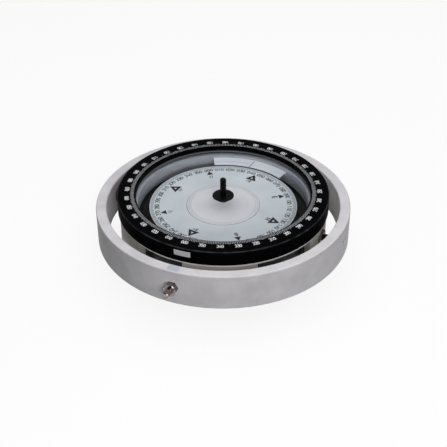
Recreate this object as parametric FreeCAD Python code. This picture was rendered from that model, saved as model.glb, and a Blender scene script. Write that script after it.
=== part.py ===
import FreeCAD, Part
import math
import os

# Marine magnetic compass: a liquid-filled bowl that swings in a gimbal ring.
# Millimetres. The origin is the middle of the bowl's flat base, +Z is up, +Y points to the lubber
# mark (fore) and +X to starboard. The bowl tips about X, and the ring hangs by trunnions on Y.

os.makedirs("parts", exist_ok=True)

Vector = FreeCAD.Vector
full_turn = 360.0
half_turn = full_turn / 2
quarter_turn = full_turn / 4
sides = (-1, 1)

# Clearances and cuts
fastener_gap = 0.05
running_gap = 0.05
seat_gap = 0.2
end_gap = 0.3
overrun = 5.0
hexagon_sides = 6

# Gimbal ring
axis_height = 55.0
ring_outer_radius = 141.5
ring_wall = 11.7
ring_height = 41.0
ring_edge_round = 1.5
spot_face_depth = 0.5
spot_face_margin = 0.8

# Trunnion studs and their nuts
stud_radius = 4.0
stud_reach = 16.0
stud_thread_show = 0.7
trunnion_radius = 3.75
stud_head_radius = 6.5
stud_head_thickness = 3.0
stud_tip_chamfer = 0.8
nut_flats = 13.0
nut_thickness = 6.5
nut_chamfer = 0.9

# Bowl pivots
pivot_screw_radius = 4.0
pivot_screw_sink = 1.2
pivot_slot_width = 1.4
pivot_slot_depth = 2.0
journal_radius = 3.0
journal_length = 12.0
journal_end_room = 3.0
lock_nut_flats = 20.0
lock_nut_thickness = 4.0
bush_radius = 6.0
bush_depth = 9.5
bush_flange_radius = 8.5
bush_flange_thickness = 3.0
bush_seat_depth = 0.9

# Bezel
swing_room = 12.3
bezel_rise = 33.5
bezel_skirt = 16.7
bezel_skirt_wall = 3.3
bezel_edge = 0.9
bezel_groove_radius = 0.5
bezel_groove_drop = 2.6
bezel_face_width = 20.7
bezel_lip_width = 1.8
bezel_lip_drop = 0.9

# Window
glass_depth = 8.0
glass_thickness = 6.0
glass_seat_width = 5.0
glass_edge = 0.6
gasket_thickness = 1.0
gasket_inset = 0.6

# Bowl casting
flange_setback = 1.0
pad_setback = 1.0
wall_setback = 1.8
flange_show = 3.0
shelf_width = 7.0
shelf_drop = 15.0
chamber_height = 20.0
rebate_width = 3.0
rebate_height = 6.0
pocket_wall = 3.5
pocket_foot = 14.0
side_pocket_start_angle = 39.8
side_pocket_end_angle = 75.0
fore_pocket_start_angle = 152.0
fore_pocket_end_angle = 180.3
pocket_corner = 2.5
steep_share = 0.5
bowl_edge_round = 0.8

# Bezel screws, from below through the flange
bezel_screw_radius = 2.0
bezel_screw_head_radius = 3.4
bezel_screw_head_height = 3.0
bezel_screw_grip = 9.0
bezel_screws_each_pocket = 2
screw_socket_flats_share = 0.42
screw_socket_depth_share = 0.55

# Shadow pin and its base on the window
pin_base_radius = 12.0
pin_base_thickness = 1.6
pin_base_round = 0.7
pin_stem_radius = 4.5
pin_stem_reach = 4.0
pin_seal_thickness = 0.5
pin_seal_inset = 0.8
pin_nut_flats = 12.5
pin_nut_thickness = 1.8
pin_radius = 3.4
pin_height = 21.4
pin_end_round = 2.2
spigot_radius = 2.5
spigot_length = 7.0
socket_floor_gap = 1.0

# Card
card_edge_room = 12.5
card_depth = 21.5
card_thickness = 1.0
card_bore_share = 0.5
card_north_angle = -144.6

# Float
float_lip_width = 5.7
float_lid_rise = 0.8
float_lid_edge = 0.6
float_bead_inset = 2.3
float_bead_radius = 0.6
float_bead_depth = 0.35
float_height = 14.0
float_skin = 0.8
float_pan_round = 5.0
hub_radius = 7.0

# Jewel cup, jewel and pivot
cup_crown = 2.0
cup_skirt = 6.0
cup_bore_radius = 4.8
jewel_radius = 3.0
jewel_height = 3.0
jewel_cone_radius = 1.5
jewel_cone_depth = 1.5
pivot_gap = 0.3
tip_point_radius = 0.2
tip_radius = 0.9
tip_length = 5.0
tip_socket_depth = 2.0
post_radius = 4.0
post_top_radius = 2.0
post_taper = 8.0
post_thread_radius = 3.0
post_nut_flats = 10.0
post_nut_thickness = 4.0
post_thread_show = 0.8

# Magnets
magnet_radius = 2.5
magnet_inset = 17.0
magnet_spacing = 26.0
magnet_drop = 3.0
carrier_end_width = 5.0
carrier_width = 6.0
carrier_inset = 11.0
carrier_floor = 1.4

# Pivot bridge
bridge_width = 16.0
bridge_thickness = 4.0
bridge_drop = 8.0
bridge_foot_length = 11.0
bridge_screw_radius = 1.5
bridge_screw_head_radius = 2.8
bridge_screw_head_height = 2.0
bridge_screw_spacing = 9.0
bridge_screw_grip = 7.0

# Lubber plate
lubber_span_angle = 57.4
lubber_top_width = 1.0
lubber_card_room = 1.9
lubber_top_drop = 6.5
lubber_foot_rise = 0.8
lubber_skin = 0.9
lubber_flange_height = 8.5
rivet_radius = 1.2
rivet_head_radius = 2.2
rivet_head_height = 0.8
rivet_grip = 3.5
rivet_spread_angle = 38.0
rivet_drop_share = 0.65

# Filling plug
plug_angle = 20.0
plug_radius = 5.0
plug_flats = 14.0
plug_head = 4.0
plug_washer_radius = 8.0
plug_washer_thickness = 1.0
plug_drop = 3.0

# Expansion diaphragm
diaphragm_skin = 0.8
diaphragm_wave_count = 4
diaphragm_wave_height = 2.6
diaphragm_middle_share = 0.29
diaphragm_rim = 10.0

# Bottom cover
cover_setback = 1.0
cover_flange_thickness = 4.0
cover_spigot_width = 7.0
cover_skin = 4.0
cover_ledge_width = 13.5
cover_slope_width = 19.0
cover_bulge = 3.2
cover_screw_count = 8
cover_screw_radius = 2.0
cover_screw_head_radius = 3.4
cover_screw_head_height = 2.2
cover_screw_grip = 10.0
cover_screw_start_angle = 22.5

# Counterweight
weight_width = 32.0
weight_margin = 2.0
weight_height_share = 0.45
weight_screw_count = 3
weight_screw_radius = 2.0
weight_screw_head_radius = 3.6
weight_screw_head_height = 2.4
weight_screw_bite = 2.8

# Radii, worked out from the ring inwards
ring_inner_radius = ring_outer_radius - ring_wall
bezel_radius = ring_inner_radius - swing_room
window_radius = bezel_radius - bezel_face_width
glass_radius = window_radius + glass_seat_width
bowl_flange_radius = bezel_radius - flange_setback
bowl_pad_radius = bowl_flange_radius - pad_setback
bowl_spigot_radius = bezel_radius - bezel_skirt_wall - seat_gap
bowl_inner_radius = window_radius - wall_setback
chamber_radius = bowl_inner_radius + shelf_width
rebate_radius = chamber_radius + rebate_width
pocket_radius = chamber_radius + pocket_wall
bezel_screw_circle = (pocket_radius + bowl_pad_radius) / 2
card_radius = bowl_inner_radius - card_edge_room
card_bore_radius = card_radius * card_bore_share
float_radius = card_bore_radius + float_lip_width
float_lid_radius = card_bore_radius - end_gap
magnet_half_length = float_radius - magnet_inset
carrier_place = magnet_half_length - carrier_inset
cover_flange_radius = bowl_pad_radius - cover_setback
cover_screw_circle = (rebate_radius + cover_flange_radius) / 2
cover_shoulder_radius = cover_flange_radius - cover_ledge_width
cover_base_radius = cover_shoulder_radius - cover_slope_width
cover_floor_radius = cover_base_radius - cover_skin / 2
weight_outer_radius = cover_floor_radius - weight_margin
weight_inner_radius = weight_outer_radius - weight_width
weight_screw_circle = weight_outer_radius - weight_width / 2

# Heights, worked out from the sizes above
ring_bottom = axis_height - ring_height / 2
ring_top = ring_bottom + ring_height
bezel_top = axis_height + bezel_rise
skirt_bottom = bezel_top - bezel_skirt
glass_top = bezel_top - glass_depth
glass_bottom = glass_top - glass_thickness
bowl_top = glass_bottom - gasket_thickness
flange_bottom = skirt_bottom - flange_show
shelf_bottom = axis_height - shelf_drop
bowl_bottom = shelf_bottom - chamber_height
pocket_bottom = bowl_bottom + pocket_foot
bridge_bottom = shelf_bottom - bridge_drop
bridge_top = bridge_bottom + bridge_thickness
card_top = glass_top - card_depth
card_bottom = card_top - card_thickness
float_lid_top = card_top + float_lid_rise
float_bottom_height = card_bottom - float_height
magnet_height = float_bottom_height - magnet_drop
jewel_top = axis_height + jewel_height - jewel_cone_depth
jewel_bottom = jewel_top - jewel_height
tip_top = axis_height - pivot_gap
post_top = tip_top - tip_length
diaphragm_top = bowl_bottom + rebate_height - gasket_thickness
diaphragm_low = diaphragm_top - diaphragm_wave_height - diaphragm_skin
cover_flange_bottom = bowl_bottom - cover_flange_thickness
weight_height = (diaphragm_low - cover_skin) * weight_height_share
weight_top = cover_skin + weight_height


def turned(outline):
    """A full revolve about Z of a closed outline of (radius, height) points."""
    points = [Vector(radius, 0, height) for radius, height in outline]
    face = Part.Face(Part.makePolygon(points + points[:1]))
    return face.revolve(Vector(0, 0, 0), Vector(0, 0, 1), full_turn)


def ring_of(inner, outer, bottom, top):
    """A plain ring or washer about Z."""
    return turned([(inner, bottom), (outer, bottom), (outer, top), (inner, top)])


def rod(radius, start, direction, length):
    """A round bar from a point, along a direction."""
    return Part.makeCylinder(radius, length, start, direction)


def hexagon_corner(flats):
    """The corner radius of a hexagon, from its size across the flats."""
    return flats / 2 / math.cos(math.pi / hexagon_sides)


def hexagon(flats, start, direction, length):
    """A hexagonal prism from a point, along a direction."""
    corner_radius = hexagon_corner(flats)
    corners = []
    for index in range(hexagon_sides + 1):
        turn = 2 * math.pi * index / hexagon_sides
        corners.append(Vector(corner_radius * math.cos(turn), corner_radius * math.sin(turn), 0))
    prism = Part.Face(Part.makePolygon(corners)).extrude(Vector(0, 0, length))
    prism.Placement = FreeCAD.Placement(start, FreeCAD.Rotation(Vector(0, 0, 1), direction))
    return prism


def hex_nut(flats, bore, start, direction, length, chamfer):
    """A hexagon nut with its corners turned off at the outer end, and a plain bore."""
    corner_radius = hexagon_corner(flats)
    barrel = rod(corner_radius, start, direction, length - chamfer)
    crown_start = start + Vector(direction).multiply(length - chamfer)
    crown = Part.makeCone(corner_radius, flats / 2, chamfer, crown_start, direction)
    body = hexagon(flats, start, direction, length).common(barrel.fuse(crown))
    return body.cut(rod(bore, start, direction, length))


def about_z(shape, angle):
    """A copy of a shape turned about Z by an angle in degrees."""
    turned_copy = shape.copy()
    turned_copy.rotate(Vector(0, 0, 0), Vector(0, 0, 1), angle)
    return turned_copy


def rounded_rims(shape, rims, radius):
    """Fillet the circles about Z that have one of the given (radius, height) pairs."""
    chosen = []
    for edge in shape.Edges:
        if not isinstance(edge.Curve, Part.Circle):
            continue
        centre = edge.Curve.Center
        for rim_radius, rim_height in rims:
            place_error = abs(edge.Curve.Radius - rim_radius) + abs(centre.z - rim_height)
            if place_error + math.hypot(centre.x, centre.y) < seat_gap:
                chosen.append(edge)
                break
    return shape.makeFillet(radius, chosen)


def screw(shank_radius, shank_length, head_radius, head_height, start, direction):
    """A socket screw: the head's bearing face is at the start and the shank runs along the direction."""
    back = Vector(direction).multiply(-head_height)
    head = rod(head_radius, start + back, direction, head_height)
    socket_flats = 2 * head_radius * screw_socket_flats_share
    socket = hexagon(socket_flats, start + back, direction, head_height * screw_socket_depth_share)
    return head.cut(socket).fuse(rod(shank_radius, start, direction, shank_length)).removeSplitter()


def save(name, shapes):
    """Write one node, whose shape is one solid or a group of separate solids."""
    solids = [solid for shape in shapes for solid in shape.Solids]
    node = solids[0] if len(solids) == 1 else Part.makeCompound(solids)
    node.exportStep("parts/" + name + ".step")


def gimbal_ring():
    """The white cast ring, bored for the trunnions on Y and the bowl pivots on X."""
    ring = ring_of(ring_inner_radius, ring_outer_radius, ring_bottom, ring_top)
    rims = [(radius, height) for radius in (ring_inner_radius, ring_outer_radius)
            for height in (ring_bottom, ring_top)]
    ring = rounded_rims(ring, rims, ring_edge_round)
    stud_spot_radius = hexagon_corner(nut_flats) + spot_face_margin
    pivot_spot_radius = hexagon_corner(lock_nut_flats) + spot_face_margin
    for side in sides:
        bolts = ((Vector(0, side, 0), stud_radius, stud_spot_radius),
                 (Vector(side, 0, 0), pivot_screw_radius, pivot_spot_radius))
        for direction, bolt_radius, spot_radius in bolts:
            inner_start = Vector(0, 0, axis_height) + Vector(direction).multiply(ring_inner_radius - overrun)
            ring = ring.cut(rod(spot_radius, inner_start, direction, spot_face_depth + overrun))
            hole = rod(bolt_radius + fastener_gap, inner_start, direction, ring_wall + 2 * overrun)
            ring = ring.cut(hole)
        outer_start = Vector(0, side * (ring_outer_radius - spot_face_depth), axis_height)
        ring = ring.cut(rod(stud_spot_radius, outer_start, Vector(0, side, 0), overrun))
    return ring


def trunnion_stud(side):
    """Stud on Y: flat round head inside the ring, thread through wall and nut, plain trunnion end."""
    direction = Vector(0, side, 0)
    seat = ring_inner_radius + spot_face_depth
    head = rod(stud_head_radius, Vector(0, side * (seat - stud_head_thickness), axis_height), direction,
               stud_head_thickness)
    thread_end = ring_outer_radius - spot_face_depth + nut_thickness + stud_thread_show
    thread = rod(stud_radius, Vector(0, side * seat, axis_height), direction, thread_end - seat)
    tip_start = ring_outer_radius + stud_reach - stud_tip_chamfer
    plain = rod(trunnion_radius, Vector(0, side * thread_end, axis_height), direction, tip_start - thread_end)
    tip = Part.makeCone(trunnion_radius, trunnion_radius - stud_tip_chamfer, stud_tip_chamfer,
                        Vector(0, side * tip_start, axis_height), direction)
    return head.fuse([thread, plain, tip]).removeSplitter()


def trunnion_nut(side):
    """Hex nut that clamps the stud against the band."""
    start = Vector(0, side * (ring_outer_radius - spot_face_depth), axis_height)
    return hex_nut(nut_flats, stud_radius + fastener_gap, start, Vector(0, side, 0), nut_thickness,
                   nut_chamfer)


def bush_face():
    """Distance from the middle to the outer face of the pivot bush."""
    return bowl_pad_radius - bush_seat_depth + bush_flange_thickness


def bowl_pivot(side):
    """Slotted screw on X, threaded through the ring, with a plain journal at its inner end."""
    inward = Vector(-side, 0, 0)
    outer_end = ring_outer_radius - pivot_screw_sink
    shoulder = bush_face() + end_gap
    thread = rod(pivot_screw_radius, Vector(side * outer_end, 0, axis_height), inward, outer_end - shoulder)
    journal = rod(journal_radius, Vector(side * shoulder, 0, axis_height), inward, journal_length)
    slot = Part.makeBox(pivot_slot_depth, 2 * pivot_screw_radius, pivot_slot_width)
    slot_start = outer_end - pivot_slot_depth if side > 0 else -outer_end
    slot.translate(Vector(slot_start, -pivot_screw_radius, axis_height - pivot_slot_width / 2))
    return thread.fuse(journal).removeSplitter().cut(slot)


def pivot_lock_nut(side):
    """Wide flat nut of the pivot screw, against the inside of the ring."""
    start = Vector(side * (ring_inner_radius + spot_face_depth), 0, axis_height)
    return hex_nut(lock_nut_flats, pivot_screw_radius + fastener_gap, start, Vector(-side, 0, 0),
                   lock_nut_thickness, nut_chamfer)


def pivot_bush(side):
    """Flanged bush in the bowl's pad, with the running bore for the journal."""
    inward = Vector(-side, 0, 0)
    face = Vector(side * bush_face(), 0, axis_height)
    seat = Vector(side * (bush_face() - bush_flange_thickness), 0, axis_height)
    body = rod(bush_flange_radius, face, inward, bush_flange_thickness)
    body = body.fuse(rod(bush_radius, seat, inward, bush_depth)).removeSplitter()
    return body.cut(rod(journal_radius + running_gap, face, inward, bush_flange_thickness + bush_depth))


def pocket_ranges():
    """The pockets' start and end angles: each one again on the opposite side of the bowl."""
    ranges = [(side_pocket_start_angle, side_pocket_end_angle),
              (fore_pocket_start_angle, fore_pocket_end_angle)]
    opposite = [(start + half_turn, end + half_turn) for start, end in ranges]
    return ranges + opposite


def pocket(start, end):
    """Cutter of one cast pocket in the bowl's wall, below the flange."""
    corners = [Vector(pocket_radius, 0, flange_bottom), Vector(pocket_radius, 0, pocket_bottom),
               Vector(bowl_flange_radius + overrun, 0, pocket_bottom),
               Vector(bowl_flange_radius + overrun, 0, flange_bottom)]
    section = Part.Face(Part.makePolygon(corners + corners[:1]))
    block = section.revolve(Vector(0, 0, 0), Vector(0, 0, 1), end - start)
    uprights = [edge for edge in block.Edges if isinstance(edge.Curve, Part.Line)
                and abs(edge.tangentAt(edge.FirstParameter).z) > steep_share
                and math.hypot(edge.Vertexes[0].X, edge.Vertexes[0].Y) < bowl_pad_radius]
    block = block.makeFillet(pocket_corner, uprights)
    return about_z(block, start - quarter_turn)


def bezel_screw_places():
    """Angles of the bezel screws, spread evenly along each pocket, in the frame's X to Y sense."""
    places = []
    for start, end in pocket_ranges():
        for index in range(bezel_screws_each_pocket):
            share = (2 * index + 1) / (2 * bezel_screws_each_pocket)
            places.append(start + (end - start) * share - quarter_turn)
    return places


def at_angle(radius, angle, height):
    """The point at a radius, an angle in degrees from +X towards +Y, and a height."""
    turn = math.radians(angle)
    return Vector(radius * math.cos(turn), radius * math.sin(turn), height)


def cover_screw_places():
    """Angles of the bottom cover's screws."""
    return [cover_screw_start_angle + full_turn * index / cover_screw_count
            for index in range(cover_screw_count)]


def bowl_body():
    """The cast bowl: flange, pads and pockets outside, bright wall, shelf and chamber inside."""
    outline = [(bowl_inner_radius, bowl_top), (bowl_spigot_radius, bowl_top),
               (bowl_spigot_radius, skirt_bottom), (bowl_flange_radius, skirt_bottom),
               (bowl_flange_radius, flange_bottom), (bowl_pad_radius, flange_bottom),
               (bowl_pad_radius, bowl_bottom), (rebate_radius, bowl_bottom),
               (rebate_radius, bowl_bottom + rebate_height), (chamber_radius, bowl_bottom + rebate_height),
               (chamber_radius, shelf_bottom), (bowl_inner_radius, shelf_bottom)]
    body = rounded_rims(turned(outline), [(bowl_flange_radius, flange_bottom)], bowl_edge_round)
    for start, end in pocket_ranges():
        body = body.cut(pocket(start, end))
    for side in sides:
        inward = Vector(-side, 0, 0)
        outside = Vector(side * (bowl_pad_radius + overrun), 0, axis_height)
        body = body.cut(rod(bush_flange_radius + spot_face_margin, outside, inward,
                            bush_seat_depth + overrun))
        body = body.cut(rod(bush_radius + fastener_gap, outside, inward,
                            bush_seat_depth + overrun + bush_depth))
        body = body.cut(rod(journal_radius + spot_face_margin, outside, inward,
                            bush_seat_depth + overrun + bush_depth + journal_end_room))
    for angle in bezel_screw_places():
        start = at_angle(bezel_screw_circle, angle, flange_bottom - overrun)
        body = body.cut(rod(bezel_screw_radius + fastener_gap, start, Vector(0, 0, 1),
                            bowl_top - flange_bottom + 2 * overrun))
    for angle in cover_screw_places():
        start = at_angle(cover_screw_circle, angle, bowl_bottom)
        body = body.cut(rod(cover_screw_radius + fastener_gap, start, Vector(0, 0, 1),
                            cover_screw_grip + end_gap))
    for x_place, side in bridge_screw_places():
        start = Vector(x_place, side * bridge_screw_radius_place(), shelf_bottom)
        body = body.cut(rod(bridge_screw_radius + fastener_gap, start, Vector(0, 0, 1),
                            bridge_screw_grip + end_gap))
    for direction, start in rivet_lines():
        body = body.cut(rod(rivet_radius + fastener_gap, start, direction,
                            rivet_grip + lubber_skin + end_gap))
    direction, face = plug_line()
    inward = Vector(direction).multiply(-1)
    body = body.cut(rod(plug_washer_radius + spot_face_margin, face, direction, overrun))
    return body.cut(rod(plug_radius + fastener_gap, face, inward,
                        bowl_pad_radius - bowl_inner_radius + overrun))


def bezel_ring():
    """Black bezel: graduated top face, turned lip over the window and a skirt over the flange."""
    glass_room = glass_radius + end_gap
    skirt_inner = bezel_radius - bezel_skirt_wall
    bowl_face = bowl_top + seat_gap
    groove_top = bezel_top - bezel_groove_drop
    outline = [(bezel_radius, skirt_bottom), (bezel_radius, groove_top - 2 * bezel_groove_radius),
               (bezel_radius - bezel_groove_radius, groove_top - bezel_groove_radius),
               (bezel_radius, groove_top), (bezel_radius, bezel_top - bezel_edge),
               (bezel_radius - bezel_edge, bezel_top), (window_radius + bezel_lip_width, bezel_top),
               (window_radius, bezel_top - bezel_lip_drop), (window_radius, glass_top + gasket_thickness),
               (glass_room, glass_top + gasket_thickness), (glass_room, bowl_face),
               (skirt_inner, bowl_face), (skirt_inner, skirt_bottom)]
    ring = turned(outline)
    for angle in bezel_screw_places():
        start = at_angle(bezel_screw_circle, angle, bowl_face)
        ring = ring.cut(rod(bezel_screw_radius + fastener_gap, start, Vector(0, 0, 1),
                            bezel_screw_grip + end_gap))
    return ring


def bezel_screw(angle):
    """Socket screw up through the flange into the bezel, its head in a pocket."""
    start = at_angle(bezel_screw_circle, angle, flange_bottom)
    length = bowl_top + seat_gap - flange_bottom + bezel_screw_grip
    return screw(bezel_screw_radius, length, bezel_screw_head_radius, bezel_screw_head_height, start,
                 Vector(0, 0, 1))


def top_glass():
    """Flat round window with ground edges and a hole for the pin base's stem."""
    outline = [(pin_stem_radius + seat_gap, glass_bottom), (glass_radius - glass_edge, glass_bottom),
               (glass_radius, glass_bottom + glass_edge), (glass_radius, glass_top - glass_edge),
               (glass_radius - glass_edge, glass_top), (pin_stem_radius + seat_gap, glass_top)]
    return turned(outline)


def glass_gasket(bottom):
    """Flat ring seal at the window's edge."""
    return ring_of(window_radius + gasket_inset, glass_radius - gasket_inset, bottom,
                   bottom + gasket_thickness)


def pin_base():
    """Black disc on the window, with a blind socket for the shadow pin in its stem."""
    bottom = glass_top + pin_seal_thickness
    top = bottom + pin_base_thickness
    stem_bottom = glass_bottom - pin_stem_reach
    socket_bottom = top - spigot_length - socket_floor_gap
    socket_radius = spigot_radius + running_gap
    outline = [(0, stem_bottom), (pin_stem_radius, stem_bottom), (pin_stem_radius, bottom),
               (pin_base_radius, bottom), (pin_base_radius, top), (socket_radius, top),
               (socket_radius, socket_bottom), (0, socket_bottom)]
    return rounded_rims(turned(outline), [(pin_base_radius, top)], pin_base_round)


def pin_seal(bottom):
    """Thin seal ring round the stem, above or below the window."""
    return ring_of(pin_stem_radius + seat_gap, pin_nut_flats / 2 - pin_seal_inset, bottom,
                   bottom + pin_seal_thickness)


def pin_base_nut():
    """Thin hex nut on the stem, under the window."""
    start = Vector(0, 0, glass_bottom - pin_seal_thickness)
    return hex_nut(pin_nut_flats, pin_stem_radius + fastener_gap, start, Vector(0, 0, -1),
                   pin_nut_thickness, pin_seal_thickness)


def shadow_pin():
    """Round post with a rounded end and a spigot that drops into the base's socket."""
    seat = glass_top + pin_seal_thickness + pin_base_thickness
    outline = [(0, seat - spigot_length), (spigot_radius, seat - spigot_length), (spigot_radius, seat),
               (pin_radius, seat), (pin_radius, seat + pin_height), (0, seat + pin_height)]
    return rounded_rims(turned(outline), [(pin_radius, seat + pin_height)], pin_end_round)


def card_disc():
    """The ring-shaped card."""
    return ring_of(card_bore_radius, card_radius, card_bottom, card_top)


def float_top():
    """Lid of the float: a flange under the card, and a flat middle with a round bead in the card's bore."""
    skin = float_skin
    under = float_lid_top - skin
    outline = [(0, under), (float_lid_radius - skin, under), (float_lid_radius - skin, card_bottom - skin),
               (float_radius, card_bottom - skin), (float_radius, card_bottom), (float_lid_radius, card_bottom),
               (float_lid_radius, float_lid_top), (0, float_lid_top)]
    lid = rounded_rims(turned(outline), [(float_lid_radius, float_lid_top)], float_lid_edge)
    bead_height = float_lid_top + float_bead_radius - float_bead_depth
    return lid.cut(Part.makeTorus(float_lid_radius - float_bead_inset, float_bead_radius,
                                  Vector(0, 0, bead_height)))


def float_bottom():
    """Lower pan of the float, with the tube that the jewel cup sits in."""
    skin = float_skin
    top = card_bottom - skin
    tube_inner = hub_radius + fastener_gap
    tube_top = float_lid_top - skin
    floor = float_bottom_height
    corner = float_pan_round + skin * math.tan(math.radians(quarter_turn / 4))
    outline = [(tube_inner, floor), (float_radius - float_pan_round, floor),
               (float_radius, floor + float_pan_round), (float_radius, top), (float_radius - skin, top),
               (float_radius - skin, floor + corner), (float_radius - corner, floor + skin),
               (tube_inner + skin, floor + skin), (tube_inner + skin, tube_top), (tube_inner, tube_top)]
    return turned(outline)


def jewel_cup():
    """Turned cup on the float's middle that holds the jewel over the pivot."""
    top = jewel_top + seat_gap
    shoulder = jewel_bottom
    bottom = shoulder - cup_skirt
    pocket_width = jewel_radius + fastener_gap
    outline = [(cup_bore_radius, bottom), (hub_radius, bottom), (hub_radius, top),
               (hub_radius - cup_crown / 2, top + cup_crown), (0, top + cup_crown), (0, top),
               (pocket_width, top), (pocket_width, shoulder), (cup_bore_radius, shoulder)]
    return turned(outline)


def pivot_jewel():
    """Jewel with a conical hollow, open downwards."""
    outline = [(jewel_cone_radius, jewel_bottom), (jewel_radius, jewel_bottom), (jewel_radius, jewel_top),
               (0, jewel_top), (0, jewel_bottom + jewel_cone_depth)]
    return turned(outline)


def card_turned(shape):
    """A shape of the card turned to the card's north, which is given from -Y towards +X."""
    return about_z(shape, card_north_angle)


def magnet(side):
    """Bar magnet under the float, along the card's north to south line."""
    start = Vector(side * magnet_spacing / 2, -magnet_half_length, magnet_height)
    return card_turned(rod(magnet_radius, start, Vector(0, 1, 0), 2 * magnet_half_length))


def magnet_carrier(side):
    """Cross bar under the float with a hole for each magnet."""
    bottom = magnet_height - magnet_radius - carrier_floor
    length = magnet_spacing + 2 * carrier_end_width
    block = Part.makeBox(length, carrier_width, float_bottom_height - bottom)
    block.translate(Vector(-length / 2, side * carrier_place - carrier_width / 2, bottom))
    for magnet_side in sides:
        start = Vector(magnet_side * magnet_spacing / 2, side * carrier_place - carrier_width, magnet_height)
        block = block.cut(rod(magnet_radius + fastener_gap, start, Vector(0, 1, 0), 2 * carrier_width))
    return card_turned(block)


def pivot_tip():
    """Hard pointed tip of the pivot, set in the post."""
    bottom = post_top - tip_socket_depth
    outline = [(0, bottom), (tip_radius, bottom), (tip_radius, post_top), (tip_point_radius, tip_top),
               (0, tip_top)]
    return turned(outline)


def pivot_post():
    """Tapered post that stands on the bridge, with a threaded foot through it."""
    foot = bridge_bottom - post_nut_thickness - post_thread_show
    socket = tip_radius + fastener_gap
    socket_bottom = post_top - tip_socket_depth
    outline = [(0, foot), (post_thread_radius, foot), (post_thread_radius, bridge_top),
               (post_radius, bridge_top), (post_radius, post_top - post_taper),
               (post_top_radius, post_top), (socket, post_top), (socket, socket_bottom), (0, socket_bottom)]
    return turned(outline)


def pivot_nut():
    """Nut of the pivot post, under the bridge."""
    start = Vector(0, 0, bridge_bottom)
    return hex_nut(post_nut_flats, post_thread_radius + fastener_gap, start, Vector(0, 0, -1),
                   post_nut_thickness, post_thread_show)


def bridge_end():
    """Distance from the middle to the bridge's end, just clear of the chamber's wall."""
    return math.sqrt((chamber_radius - end_gap) ** 2 - (bridge_width / 2) ** 2)


def bridge_screw_radius_place():
    """Distance of the bridge's screws from the middle, along Y."""
    return bowl_inner_radius + shelf_width / 2 - seat_gap


def bridge_screw_places():
    """The bridge screws' places along X, and their side along Y."""
    return [(across * bridge_screw_spacing / 2, side) for across in sides for side in sides]


def pivot_bridge():
    """Cranked bar along Y whose raised feet are screwed to the underside of the shelf."""
    end = bridge_end()
    foot = end - bridge_foot_length
    low = bridge_bottom
    heights = [(-end, shelf_bottom), (-end, low), (end, low), (end, shelf_bottom), (foot, shelf_bottom),
               (foot - bridge_thickness, bridge_top), (-foot + bridge_thickness, bridge_top),
               (-foot, shelf_bottom)]
    points = [Vector(-bridge_width / 2, along, height) for along, height in heights]
    bar = Part.Face(Part.makePolygon(points + points[:1])).extrude(Vector(bridge_width, 0, 0))
    bar = bar.cut(rod(post_thread_radius + fastener_gap, Vector(0, 0, low), Vector(0, 0, 1),
                      bridge_thickness))
    for x_place, side in bridge_screw_places():
        start = Vector(x_place, side * bridge_screw_radius_place(), low)
        bar = bar.cut(rod(bridge_screw_radius + fastener_gap, start, Vector(0, 0, 1), bridge_drop))
    return bar


def bridge_screw(x_place, side):
    """Screw up through a foot of the bridge into the shelf."""
    start = Vector(x_place, side * bridge_screw_radius_place(), bridge_bottom)
    return screw(bridge_screw_radius, bridge_drop + bridge_screw_grip, bridge_screw_head_radius,
                 bridge_screw_head_height, start, Vector(0, 0, 1))


def lubber_section():
    """Closed outline of the lubber plate: flange on the wall, then the slope down to the card's edge."""
    wall = bowl_inner_radius - fastener_gap
    top = glass_bottom - lubber_top_drop
    foot_radius = card_radius + lubber_card_room
    foot = card_top + lubber_foot_rise
    skin = lubber_skin
    return [(wall, top), (bowl_inner_radius - lubber_top_width, top), (foot_radius, foot),
            (foot_radius + skin, foot), (wall - skin, top - skin), (wall - skin, top - lubber_flange_height),
            (wall, top - lubber_flange_height)]


def lubber_plate():
    """White sloped plate inside the wall at the fore side."""
    points = [Vector(0, radius, height) for radius, height in lubber_section()]
    section = Part.Face(Part.makePolygon(points + points[:1]))
    plate = section.revolve(Vector(0, 0, 0), Vector(0, 0, 1), lubber_span_angle)
    plate = about_z(plate, -lubber_span_angle / 2)
    for direction, start in rivet_lines():
        inward = Vector(direction).multiply(-1)
        plate = plate.cut(rod(rivet_radius + fastener_gap, start, direction, 2 * lubber_skin))
        plate = plate.cut(rod(rivet_head_radius + fastener_gap, start, inward, rivet_head_height))
    return plate


def rivet_lines():
    """Direction and inner start of each lubber rivet."""
    height = glass_bottom - lubber_top_drop - lubber_flange_height * rivet_drop_share
    lines = []
    for side in sides:
        angle = quarter_turn + side * rivet_spread_angle / 2
        start = at_angle(bowl_inner_radius - fastener_gap - lubber_skin, angle, height)
        lines.append((at_angle(1, angle, 0), start))
    return lines


def lubber_rivet(direction, start):
    """Rivet through the plate's flange into the bowl's wall."""
    inward = Vector(direction).multiply(-1)
    head = rod(rivet_head_radius, start, inward, rivet_head_height)
    return head.fuse(rod(rivet_radius, start, direction, rivet_grip + lubber_skin)).removeSplitter()


def plug_line():
    """Outward direction of the filling plug, and the middle of its seat on the bowl."""
    angle = plug_angle - quarter_turn
    direction = at_angle(1, angle, 0)
    return direction, at_angle(bowl_pad_radius - spot_face_depth, angle, axis_height - plug_drop)


def filling_plug():
    """Hex-headed plug in the bowl's side."""
    direction, face = plug_line()
    inward = Vector(direction).multiply(-1)
    under_head = face + Vector(direction).multiply(plug_washer_thickness)
    head = hexagon(plug_flats, under_head, direction, plug_head)
    shank_length = plug_washer_thickness + bowl_pad_radius - spot_face_depth - bowl_inner_radius - seat_gap
    return head.fuse(rod(plug_radius, under_head, inward, shank_length)).removeSplitter()


def plug_washer():
    """Sealing washer of the filling plug."""
    direction, face = plug_line()
    washer = rod(plug_washer_radius, face, direction, plug_washer_thickness)
    return washer.cut(rod(plug_radius + fastener_gap, face, direction, plug_washer_thickness))


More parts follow.
